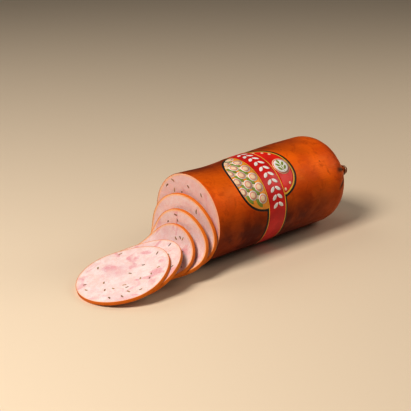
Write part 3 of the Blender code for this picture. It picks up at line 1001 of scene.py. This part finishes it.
def make_fields(inks):
    """The orange field left of the strap, and the red field right of it with its gold border."""
    angle = np.linspace(PANEL_MIDDLE - PANEL_SPAN_ABOVE, PANEL_MIDDLE + PANEL_SPANS_BELOW[0], 120)
    low, high = PRINTED_STRAP[0] + 0 * angle, PRINTED_STRAP[1] + 0 * angle
    orange = field_rows(panel_edge(angle, 0, RIM), low, angle)
    gold = field_rows(high, panel_edge(angle, 1, RIM), angle)
    red = field_rows(high, panel_edge(angle, 1, RIM + BORDER), angle)
    return [
        band("wrap_left_field", *orange, 3, inks["orange"], 20),
        band("wrap_border", *gold, 3, inks["gold"], 12),
        band("wrap_right_field", *red, 4, inks["red"], 12),
    ]


def make_seed_pairs(inks):
    """White seed shapes in slanted pairs along the strap."""
    arcs = (np.arange(PAIRS) * PAIR_PITCH + FIRST_PAIR) * MM
    middle = sum(PRINTED_STRAP) / 2 + 1.0 * MM
    middles = [(middle + side * 3.3 * MM, arc) for arc in arcs for side in (-1, 1)]
    turns = [side * PAIR_SLANT for _ in arcs for side in (-1, 1)]
    return patches("wrap_seed_pairs", middles, turns, leaf_outline(7.2 * MM, 3.6 * MM), 6, inks["white"])


def left_field_grid(out, down):
    """Places of a triangular grid over the left field, moved out from the strap and down, and kept where
    they lie at least 1 mm inside the field."""
    grid = [(PRINTED_STRAP[0] - 5.4 * MM - 0.87 * GRID_PITCH * column - out,
             (row + 0.5 * (column % 2)) * GRID_PITCH + down)
            for column in range(-1, 4) for row in range(-6, 7)]
    return [(x, arc) for x, arc in grid
            if panel_edge(PANEL_MIDDLE + arc / DOME_RADIUS, 0, RIM + 1 * MM) < x < PRINTED_STRAP[0] - 1 * MM]


def make_rounds(inks):
    """Rounds of three inks in a triangular grid over the left field, with green leaves in the gaps that
    slant one way and cream ones in the gaps that slant the other way, all cut off at the field's edge."""
    half_step = 0.435 * GRID_PITCH
    rounds = left_field_grid(0.0, 0.0)
    leaves = left_field_grid(half_step, 0.25 * GRID_PITCH)
    strips = left_field_grid(half_step, -0.25 * GRID_PITCH)
    slant = math.radians(60)
    leaf = leaf_outline(11.0 * MM, 4.6 * MM)
    layers = (
        ("wrap_strips", strips, -slant, leaf, "cream"),
        ("wrap_leaves", leaves, slant, leaf, "green"),
        ("wrap_rounds", rounds, 0.0, disc_outline(ROUND_RADII[0]), "white"),
        ("wrap_round_rings", rounds, 0.0, disc_outline(ROUND_RADII[1]), "rose"),
        ("wrap_round_hearts", rounds, 0.0, disc_outline(ROUND_RADII[2]), "cream"),
    )
    return [
        patches(name, places, [turn] * len(places), outline, 4 + level, inks[ink], trim=True)
        for level, (name, places, turn, outline, ink) in enumerate(layers)
    ]


def make_roundel(inks):
    """A pale roundel in the right field that holds a plain sprig of a stem and five leaves, and a row of
    cream dots that follows the border above and below it."""
    x, arc = ROUNDEL
    outer, middle, inner = (disc_outline(radius, 48) for radius in ROUNDEL_RADII)
    spots = ((0, -5.2), (-3.0, -1.8), (3.0, -1.8), (-3.0, 2.6), (3.0, 2.6))
    leaves = [(x + across * MM, arc + down * MM) for across, down in spots]
    turns = [math.radians(degrees) for degrees in (90, 50, 130, 50, 130)]
    angle = PANEL_MIDDLE + np.array(DOTS_AT) * MM / DOME_RADIUS
    inside = panel_edge(angle, 1, RIM + BORDER + DOTS_INSIDE_BORDER)
    dots = list(zip(inside, (angle - PANEL_MIDDLE) * DOME_RADIUS))
    return [
        patches("wrap_roundel", [(x, arc)], [0.0], outer, 5, inks["cream"], 5),
        patches("wrap_roundel_ring", [(x, arc)], [0.0], middle, 6, inks["red"], 5),
        patches("wrap_roundel_ground", [(x, arc)], [0.0], inner, 7, inks["white"], 5),
        patches("wrap_sprig_stem", [(x, arc + 1.0 * MM)], [math.pi / 2], leaf_outline(11.0 * MM, 0.9 * MM), 8,
                inks["green"]),
        patches("wrap_sprig_leaves", leaves, turns, leaf_outline(5.2 * MM, 2.4 * MM), 9, inks["green"]),
        patches("wrap_dots", dots, [0.0] * len(dots), disc_outline(1.5 * MM, 20), 5, inks["cream"]),
    ]


printed_film = film_group()
inks = {name: ink_material(name, colour, printed_film) for name, colour in INKS.items()}
for film in [*make_strap_films(inks), *make_fields(inks), make_seed_pairs(inks), *make_rounds(inks),
             *make_roundel(inks)]:
    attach(film, "root")
    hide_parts("label")


# The clip.
# A loop of soft drawn wire, pressed shut round the twisted neck, so that it is thicker where its two ends
# lie together. The smoke has browned it.

CLIP_DISTANCE = 5.2 * MM
CLIP_LOOP = 3.8 * MM
CLIP_WIRE = 0.6 * MM
CLIP_STEPS = 96
CLIP_SIDES = 20


def clip_material():
    """Dull metal with fine scratches along the wire."""
    material, shader = plain_material("clip_wire", (0.55, 0.40, 0.28), 0.55)
    tree = material.node_tree
    coordinates = add_node(tree, "ShaderNodeTexCoord")
    scratches = noise(tree, stretched(tree, coordinates.outputs["Object"], (1.0, 0.2, 1.0)), 2600.0, 2.0)
    tree.links.new(ranged(tree, scratches, 0.3, 0.7, 0.48, 0.66), shader.inputs["Roughness"])
    bump(tree, shader, scratches, 0.05 * MM)
    shader.inputs["Metallic"].default_value = 1.0
    return material


def make_clip(material):
    """A round wire carried round the neck on an oval, thicker where its pressed ends lie together."""
    turn = np.arange(CLIP_STEPS)[:, None] * 2 * math.pi / CLIP_STEPS
    roll = np.arange(CLIP_SIDES)[None, :] * 2 * math.pi / CLIP_SIDES
    along, across, upward = tail_axes()
    outward = across * np.cos(turn)[..., None] + upward * np.sin(turn)[..., None]
    swell = 1 + 0.35 * np.exp(-((np.cos(turn) - 1) / 0.08) ** 2)
    radius = CLIP_LOOP * (1 + 0.08 * np.sin(turn) ** 2) + CLIP_WIRE * (swell - 1)
    centre = dome_point(gather_on_unit_sphere()) + along * CLIP_DISTANCE
    wire = CLIP_WIRE * swell[..., None]
    offset = outward * (np.cos(roll)[..., None] * wire) + along * (np.sin(roll)[..., None] * wire)
    points = centre + outward * radius[..., None] + offset
    faces = (ring_faces(CLIP_STEPS + 1, CLIP_SIDES) % (CLIP_STEPS * CLIP_SIDES))[:, ::-1]
    return mesh_piece("clip_loop", points.reshape(-1, 3), [faces], material)


clip = make_clip(clip_material())
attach(clip, "root")
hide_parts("clip")
